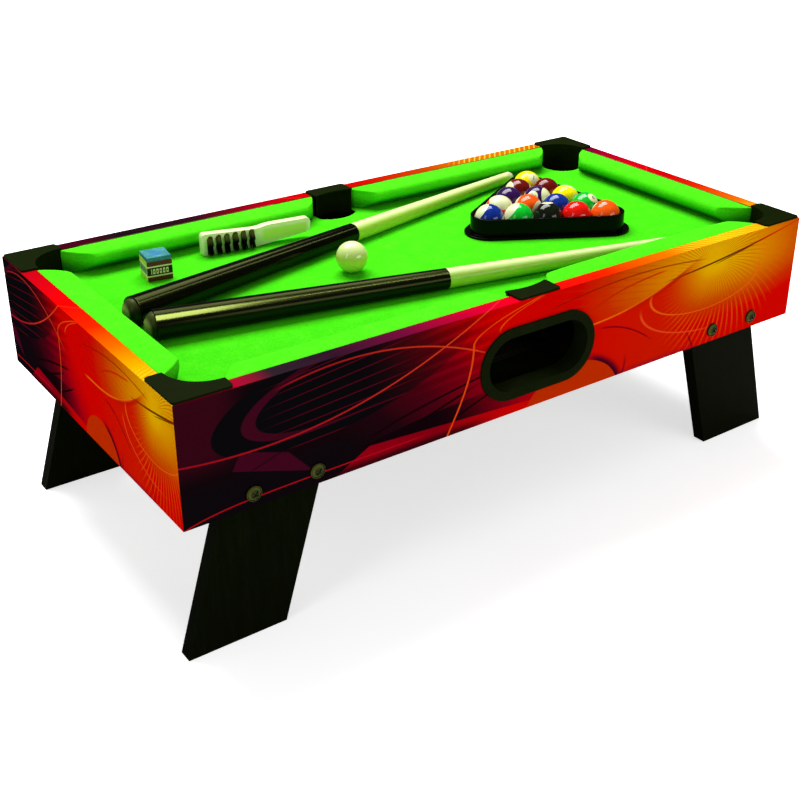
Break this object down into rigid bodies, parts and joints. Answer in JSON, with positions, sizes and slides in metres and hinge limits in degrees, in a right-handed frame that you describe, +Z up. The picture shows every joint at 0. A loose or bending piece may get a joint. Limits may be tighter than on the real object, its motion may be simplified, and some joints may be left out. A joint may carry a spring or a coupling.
{
  "type": "tabletop pool table",
  "caption": "Tabletop pool table on bolted board legs, with cloth-covered cushions, pockets, an internal ball return, cues, racked balls, chalk and a brush.",
  "frame": {"origin": "centre of the footprint on the floor plane, under the middle of the table", "axes": "+X along the length of the table, -Y out of the side with the ball return, +Z up"},
  "size_m": [0.69, 0.3614, 0.2462],
  "materials": {
    "apron_front": "printed film wrap over board, semi-gloss",
    "apron_back": "printed film wrap over board, semi-gloss",
    "apron_left": "printed film wrap over board, semi-gloss",
    "apron_right": "printed film wrap over board, semi-gloss",
    "raw_board": "raw fibreboard",
    "hardboard": "raw hardboard",
    "cloth_green": "short napped green cloth",
    "cushion_green": "rubber cushion covered in green cloth",
    "black_plastic": "moulded black, fine texture",
    "leg_black": "board with matte black foil",
    "antique_brass": "antique brass plating",
    "zinc_steel": "zinc plated",
    "ball_white": "polished resin",
    "rubber_black": "moulded rubber",
    "cue_black": "gloss black lacquer",
    "cue_cream": "satin cream lacquer",
    "cue_tip": "pressed leather and ferrule",
    "chalk_blue": "pressed blue chalk",
    "chalk_paper": "printed paper wrapper",
    "white_plastic": "moulded white",
    "bristle_black": "nylon bristle tufts",
    "ball_yellow": "polished resin",
    "ball_blue": "polished resin",
    "ball_red": "polished resin",
    "ball_purple": "polished resin",
    "ball_orange": "polished resin",
    "ball_green": "polished resin",
    "ball_maroon": "polished resin",
    "ball_black": "polished resin"
  },
  "bodies": {
    "table": {"front_apron": "apron_front", "back_apron": "apron_back", "left_apron": "apron_left", "right_apron": "apron_right", "playfield_board": "raw_board", "playing_cloth": "cloth_green", "cushion_front_left": "cushion_green", "cushion_front_right": "cushion_green", "cushion_back_left": "cushion_green", "cushion_back_right": "cushion_green", "cushion_left_end": "cushion_green", "cushion_right_end": "cushion_green", "pocket_front_left": "black_plastic", "pocket_front_right": "black_plastic", "pocket_back_left": "black_plastic", "pocket_back_right": "black_plastic", "pocket_front_side": "black_plastic", "pocket_back_side": "black_plastic", "ball_return_tray": "black_plastic", "ramp_left": "hardboard", "ramp_right": "hardboard", "centre_chute": "hardboard", "corner_blocks": "raw_board", "leg_front_left": "leg_black", "leg_front_right": "leg_black", "leg_back_left": "leg_black", "leg_back_right": "leg_black", "leg_bolts": "antique_brass", "leg_cup_washers": "antique_brass", "leg_nuts": "zinc_steel", "wood_screws": "zinc_steel"},
    "cue_ball_body": {"cue_ball": "ball_white"},
    "rack_body": {"triangle_rack": "black_plastic"},
    "rear_cue": {"rear_cue_bumper": "rubber_black", "rear_cue_butt": "cue_black", "rear_cue_shaft": "cue_cream", "rear_cue_tip": "cue_tip"},
    "front_cue": {"front_cue_bumper": "rubber_black", "front_cue_butt": "cue_black", "front_cue_shaft": "cue_cream", "front_cue_tip": "cue_tip"},
    "chalk": {"chalk_block": "chalk_blue", "chalk_label": "chalk_paper"},
    "brush": {"brush_handle": "white_plastic", "brush_bristles": "bristle_black"},
    "object_ball_01": {"ball_01": "ball_yellow"},
    "object_ball_02": {"ball_02": "ball_blue"},
    "object_ball_03": {"ball_03": "ball_red"},
    "object_ball_04": {"ball_04": "ball_purple"},
    "object_ball_05": {"ball_05": "ball_orange"},
    "object_ball_06": {"ball_06": "ball_green"},
    "object_ball_07": {"ball_07": "ball_maroon"},
    "object_ball_08": {"ball_08": "ball_black"},
    "object_ball_09": {"ball_09": "ball_yellow"},
    "object_ball_10": {"ball_10": "ball_blue"},
    "object_ball_11": {"ball_11": "ball_red"},
    "object_ball_12": {"ball_12": "ball_purple"},
    "object_ball_13": {"ball_13": "ball_orange"},
    "object_ball_14": {"ball_14": "ball_green"},
    "object_ball_15": {"ball_15": "ball_maroon"}
  },
  "joints": [
    {"name": "cue_ball_lift", "type": "slide", "parent": "table", "child": "cue_ball_body", "axis": [0, 0, 1], "range_m": [0, 0.06]},
    {"name": "rack_lift", "type": "slide", "parent": "table", "child": "rack_body", "axis": [0, 0, 1], "range_m": [0, 0.06]},
    {"name": "rear_cue_lift", "type": "slide", "parent": "table", "child": "rear_cue", "axis": [0, 0, 1], "range_m": [0, 0.08]},
    {"name": "front_cue_lift", "type": "slide", "parent": "table", "child": "front_cue", "axis": [0, 0, 1], "range_m": [0, 0.08]},
    {"name": "chalk_lift", "type": "slide", "parent": "table", "child": "chalk", "axis": [0, 0, 1], "range_m": [0, 0.06]},
    {"name": "brush_lift", "type": "slide", "parent": "table", "child": "brush", "axis": [0, 0, 1], "range_m": [0, 0.06]},
    {"name": "object_ball_01_lift", "type": "slide", "parent": "table", "child": "object_ball_01", "axis": [0, 0, 1], "range_m": [0, 0.06]},
    {"name": "object_ball_02_lift", "type": "slide", "parent": "table", "child": "object_ball_02", "axis": [0, 0, 1], "range_m": [0, 0.06]},
    {"name": "object_ball_03_lift", "type": "slide", "parent": "table", "child": "object_ball_03", "axis": [0, 0, 1], "range_m": [0, 0.06]},
    {"name": "object_ball_04_lift", "type": "slide", "parent": "table", "child": "object_ball_04", "axis": [0, 0, 1], "range_m": [0, 0.06]},
    {"name": "object_ball_05_lift", "type": "slide", "parent": "table", "child": "object_ball_05", "axis": [0, 0, 1], "range_m": [0, 0.06]},
    {"name": "object_ball_06_lift", "type": "slide", "parent": "table", "child": "object_ball_06", "axis": [0, 0, 1], "range_m": [0, 0.06]},
    {"name": "object_ball_07_lift", "type": "slide", "parent": "table", "child": "object_ball_07", "axis": [0, 0, 1], "range_m": [0, 0.06]},
    {"name": "object_ball_08_lift", "type": "slide", "parent": "table", "child": "object_ball_08", "axis": [0, 0, 1], "range_m": [0, 0.06]},
    {"name": "object_ball_09_lift", "type": "slide", "parent": "table", "child": "object_ball_09", "axis": [0, 0, 1], "range_m": [0, 0.06]},
    {"name": "object_ball_10_lift", "type": "slide", "parent": "table", "child": "object_ball_10", "axis": [0, 0, 1], "range_m": [0, 0.06]},
    {"name": "object_ball_11_lift", "type": "slide", "parent": "table", "child": "object_ball_11", "axis": [0, 0, 1], "range_m": [0, 0.06]},
    {"name": "object_ball_12_lift", "type": "slide", "parent": "table", "child": "object_ball_12", "axis": [0, 0, 1], "range_m": [0, 0.06]},
    {"name": "object_ball_13_lift", "type": "slide", "parent": "table", "child": "object_ball_13", "axis": [0, 0, 1], "range_m": [0, 0.06]},
    {"name": "object_ball_14_lift", "type": "slide", "parent": "table", "child": "object_ball_14", "axis": [0, 0, 1], "range_m": [0, 0.06]},
    {"name": "object_ball_15_lift", "type": "slide", "parent": "table", "child": "object_ball_15", "axis": [0, 0, 1], "range_m": [0, 0.06]}
  ]
}
